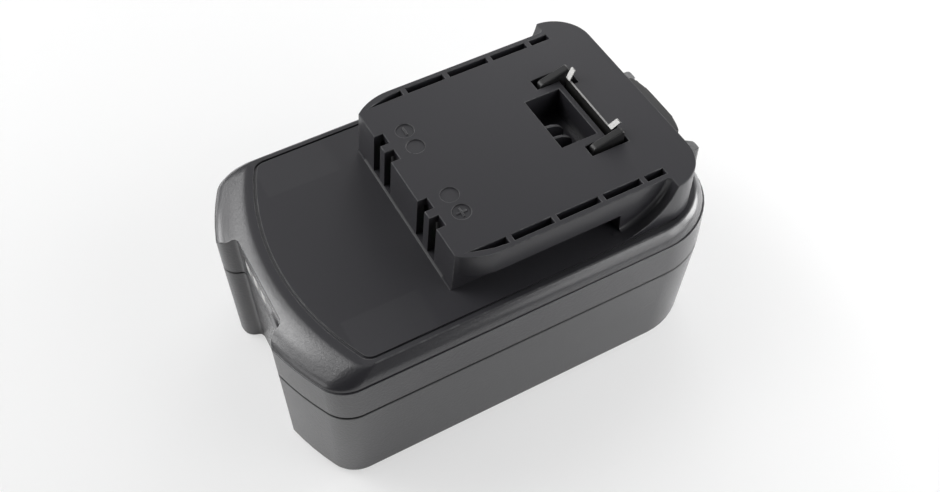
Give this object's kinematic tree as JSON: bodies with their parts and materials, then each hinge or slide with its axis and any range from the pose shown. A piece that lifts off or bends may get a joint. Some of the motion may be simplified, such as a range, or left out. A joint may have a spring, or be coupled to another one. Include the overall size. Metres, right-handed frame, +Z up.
{
  "type": "power tool battery pack",
  "caption": "Slide-on battery pack for a cordless tool: two-part black case, guide tower with rails, sprung latch, release button and charge gauge.",
  "frame": {"origin": "on the base, under the middle of the case", "axes": "+X to the latch and release button end, -X to the gauge end, +Z up to the guide tower, Y across"},
  "size_m": [0.1212, 0.0762, 0.0588],
  "materials": {
    "case_plastic": "moulded black plastic with a fine spark texture on the deck and satin walls",
    "latch_plastic": "moulded black plastic, fine texture",
    "button_plastic": "moulded black plastic, satin",
    "insert_steel": "bright cold rolled sheet",
    "spring_steel": "bright spring wire",
    "screw_steel": "zinc plated",
    "gauge_plastic": "smoked plastic strip",
    "light_plastic": "clear moulded plastic",
    "test_rubber": "soft grey button",
    "board_laminate": "green solder mask on laminate",
    "frame_plastic": "plain dark grey moulding",
    "contact_brass": "springy contact alloy",
    "lead_brass": "flat lead",
    "chip_plastic": "moulded chip package",
    "capacitor_ceramic": "fired body",
    "cell_can": "nickel plated steel can",
    "sleeve_plastic": "shrunk film",
    "insulator_paper": "insulating paper",
    "strip_nickel": "nickel strip, spot welded",
    "pad_foam": "closed cell foam",
    "ribbon_plastic": "flat flexible ribbon"
  },
  "bodies": {
    "case": {"top_case": "case_plastic", "bottom_case": "case_plastic", "housing_screws": "screw_steel", "latch_springs": "spring_steel", "gauge_lens": "gauge_plastic", "gauge_light_pipes": "light_plastic", "gauge_board": "board_laminate", "gauge_leds": "light_plastic", "gauge_switch": "insert_steel", "board_carrier": "frame_plastic", "control_board": "board_laminate", "terminal_block": "latch_plastic", "terminal_negative": "contact_brass", "terminal_sense_1": "contact_brass", "terminal_sense_2": "contact_brass", "terminal_positive": "contact_brass", "power_transistors": "chip_plastic", "control_chip": "chip_plastic", "shunt_resistor": "lead_brass", "capacitors": "capacitor_ceramic", "board_screws": "screw_steel", "temperature_sensor": "chip_plastic", "cell_sleeves": "sleeve_plastic", "cell_insulator_rings": "insulator_paper", "cell_frame_left": "frame_plastic", "cell_frame_right": "frame_plastic", "insulator_sheet_left": "insulator_paper", "insulator_sheet_right": "insulator_paper", "foam_pads": "pad_foam", "lead_positive": "lead_brass", "lead_negative": "lead_brass", "gauge_ribbon": "ribbon_plastic", "cell_1": "cell_can", "cell_2": "cell_can", "cell_3": "cell_can", "cell_4": "cell_can", "cell_5": "cell_can", "cell_6": "cell_can", "cell_7": "cell_can", "cell_8": "cell_can", "cell_9": "cell_can", "cell_10": "cell_can", "bus_strip_1": "strip_nickel", "bus_strip_2": "strip_nickel", "bus_strip_3": "strip_nickel", "bus_strip_4": "strip_nickel", "bus_strip_5": "strip_nickel", "bus_strip_6": "strip_nickel"},
    "latch": {"latch_slider": "latch_plastic", "latch_steel_insert": "insert_steel", "release_button": "button_plastic"},
    "test_button": {"gauge_button": "test_rubber"}
  },
  "joints": [
    {"name": "latch_slide", "type": "slide", "parent": "case", "child": "latch", "axis": [0, 0, -1], "range_m": [0, 0.0044], "stiffness_N_per_m": 700, "springref_m": -0.004, "deforming": ["latch_springs"]},
    {"name": "test_button_press", "type": "slide", "parent": "case", "child": "test_button", "axis": [1, 0, 0], "range_m": [0, 0.0005], "stiffness_N_per_m": 1500, "springref_m": -0.0004}
  ]
}
